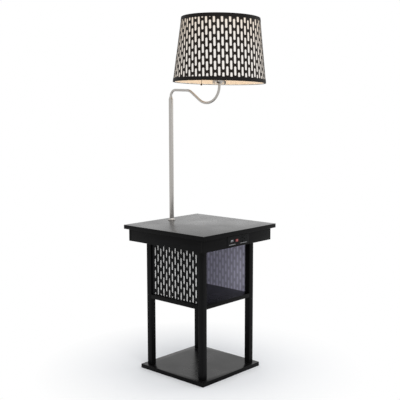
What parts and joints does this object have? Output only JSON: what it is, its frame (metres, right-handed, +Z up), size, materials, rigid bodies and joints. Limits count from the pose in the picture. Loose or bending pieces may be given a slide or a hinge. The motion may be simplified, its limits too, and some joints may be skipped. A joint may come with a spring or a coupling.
{
  "type": "floor lamp with table",
  "caption": "Floor lamp on a square side table: swing arm with a pierced drum shade, open compartment with lattice sides, power panel in the apron.",
  "frame": {"origin": "centre of the base board's underside, on the floor", "axes": "+Z up; -Y is the front, with the compartment's open side and the power panel; +Y is the rear, where the lamp pole stands; +X is to the right of someone who faces the front"},
  "size_m": [0.4, 0.4603, 1.2929],
  "materials": {
    "black_laminate": "satin black laminate on fibreboard",
    "black_skin": "satin black",
    "white_liner": "translucent white sheet",
    "beech": "plain",
    "zinc_steel": "zinc plated",
    "black_plastic": "fine moulded texture",
    "port_metal": "bright",
    "red_plastic": "gloss",
    "nickel": "satin brushed nickel",
    "nylon": "plain",
    "phenolic": "satin",
    "brass": "bright",
    "bulb_glass": "frosted white",
    "chain": "antique",
    "shade_black": "matt black laminated sheet",
    "shade_white": "white lining sheet",
    "ring_steel": "white coated wire"
  },
  "bodies": {
    "stand": {"base_board": "black_laminate", "leg_front_left": "black_laminate", "leg_front_right": "black_laminate", "leg_rear_left": "black_laminate", "leg_rear_right": "black_laminate", "shelf_board": "black_laminate", "soffit_board": "black_laminate", "apron_left": "black_laminate", "apron_right": "black_laminate", "apron_front": "black_laminate", "apron_rear": "black_laminate", "table_top": "black_laminate", "lattice_left": "black_skin", "lattice_right": "black_skin", "lattice_rear": "black_skin", "liner_left": "white_liner", "liner_right": "white_liner", "liner_rear": "white_liner", "shelf_dowels": "beech", "base_screws": "zinc_steel", "soffit_screws": "zinc_steel", "pole_plug": "zinc_steel", "pole_rod": "zinc_steel", "pole_washer": "zinc_steel", "pole_nut": "zinc_steel", "power_panel": "black_plastic", "power_module": "black_plastic", "mains_outlet": "black_plastic", "charging_puck": "black_plastic", "cord_gland": "black_plastic", "charging_port": "port_metal", "pole_flange": "nickel", "pole_tube": "nickel", "pole_reducer": "nickel", "arm_bush": "nylon"},
    "arm": {"arm_tube": "nickel", "harp_saddle": "nickel", "holder_nipple": "zinc_steel", "holder_cup": "nickel", "holder_shell": "phenolic", "holder_locknut": "zinc_steel", "holder_sleeve": "brass", "bulb": "bulb_glass", "harp": "nickel", "harp_ferrules": "nickel", "chain_guide": "nickel", "shade_outer": "shade_black", "shade_liner": "shade_white", "trim_top": "shade_black", "trim_bottom": "shade_black", "ring_bottom": "ring_steel", "shade_fitter": "ring_steel", "finial": "nickel"},
    "pull_switch": {"pull_chain": "chain"},
    "power_button": {"power_button": "red_plastic"}
  },
  "joints": [
    {"name": "arm_swing", "type": "hinge", "parent": "stand", "child": "arm", "pos_m": [0, 0.148, 1.008], "axis": [0, 0, 1], "range_deg": [-165, 165]},
    {"name": "chain_pull", "type": "slide", "parent": "arm", "child": "pull_switch", "axis": [-0.0314, 0, -0.9995], "range_m": [0, 0.008], "stiffness_N_per_m": 150},
    {"name": "button_press", "type": "slide", "parent": "stand", "child": "power_button", "axis": [0, 1, 0], "range_m": [0, 0.0015], "stiffness_N_per_m": 400}
  ]
}
